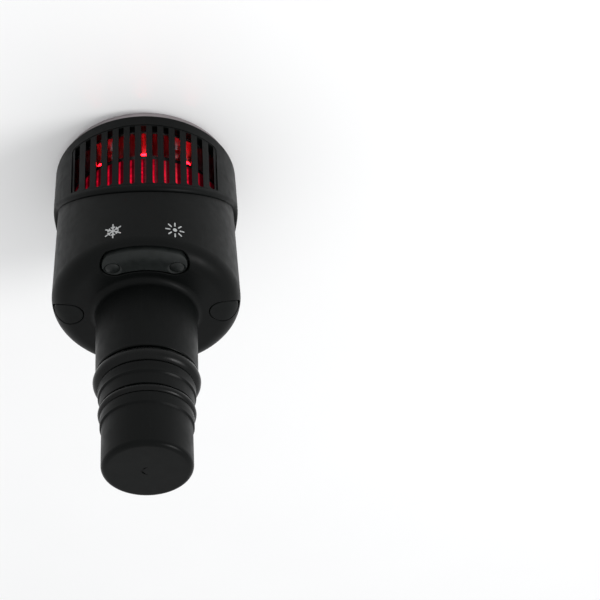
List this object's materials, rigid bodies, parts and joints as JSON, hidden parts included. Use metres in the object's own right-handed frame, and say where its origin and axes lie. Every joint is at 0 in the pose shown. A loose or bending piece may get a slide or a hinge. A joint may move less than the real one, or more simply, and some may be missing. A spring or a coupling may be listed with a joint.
{
  "type": "massage gun hot and cold head",
  "caption": "Round hot and cold therapy head with a flat contact plate, slotted vent band, two press buttons and a plain round shank with sealing rings.",
  "frame": {"origin": "centre of the contact plate's outer face, on the axis", "axes": "+Z along the axis from the plate to the shank's end, -Y to the front with the buttons, +X to the cold (snowflake) side"},
  "size_m": [0.044, 0.0438, 0.0889],
  "materials": {
    "plate_metal": "satin, fine turned grain",
    "seal_rubber": "matte",
    "ring_plastic": "fine spark texture",
    "shell_plastic": "soft-touch matte",
    "pad_rubber": "silk matte silicone",
    "button_rubber": "silk matte silicone",
    "plug_plastic": "matte",
    "ring_rubber": "slightly glossy nitrile",
    "icon_ink": "pad-printed silver grey",
    "ceramic_white": "matte alumina",
    "pellet_metal": "sawn semiconductor",
    "foam_grey": "closed-cell foam",
    "sink_aluminium": "as extruded",
    "screw_steel": "zinc plated",
    "board_green": "solder mask",
    "board_black": "matte black solder mask",
    "led_red": "lit",
    "guide_clear": "frosted acrylic, lit red",
    "fan_black": "glass-filled",
    "bearing_brass": "sintered",
    "chip_black": "moulded epoxy",
    "socket_steel": "stamped, nickel plated",
    "cell_wrap": "shrink wrap",
    "sensor_epoxy": "epoxy bead"
  },
  "bodies": {
    "housing": {"contact_plate": "plate_metal", "plate_seal": "seal_rubber", "temperature_sensor": "sensor_epoxy", "peltier_cold_ceramic": "ceramic_white", "peltier_pellets": "pellet_metal", "peltier_hot_ceramic": "ceramic_white", "insulation_ring": "foam_grey", "heat_sink": "sink_aluminium", "sink_screws": "screw_steel", "led_board": "board_black", "leds": "led_red", "light_guide_front": "guide_clear", "light_guide_back": "guide_clear", "fan_frame": "fan_black", "fan_bearing": "bearing_brass", "fan_screws": "screw_steel", "vent_ring": "ring_plastic", "vent_grille_front": "ring_plastic", "vent_grille_back": "ring_plastic", "lower_shell": "shell_plastic", "screw_plugs": "plug_plastic", "case_screws": "screw_steel", "large_o_ring": "ring_rubber", "small_o_ring": "ring_rubber", "button_pad": "pad_rubber", "tact_switches": "chip_black", "control_board": "board_green", "board_screws": "screw_steel", "board_chips": "chip_black", "charge_socket": "socket_steel", "battery_cell": "cell_wrap", "battery_sleeve": "foam_grey", "battery_pad": "foam_grey", "snowflake_icon": "icon_ink", "sun_icon": "icon_ink"},
    "cold_button": {"cold_button": "button_rubber", "cold_switch_stem": "chip_black"},
    "heat_button": {"heat_button": "button_rubber", "heat_switch_stem": "chip_black"},
    "fan_rotor": {"fan_rotor": "fan_black"}
  },
  "joints": [
    {"name": "cold_press", "type": "slide", "parent": "housing", "child": "cold_button", "axis": [0, 0, -1], "range_m": [0, 0.0003], "stiffness_N_per_m": 900},
    {"name": "heat_press", "type": "slide", "parent": "housing", "child": "heat_button", "axis": [0, 0, -1], "range_m": [0, 0.0003], "stiffness_N_per_m": 900},
    {"name": "fan_spin", "type": "hinge", "parent": "housing", "child": "fan_rotor", "pos_m": [0, 0, 0.018], "axis": [0, 0, 1], "continuous": true}
  ]
}
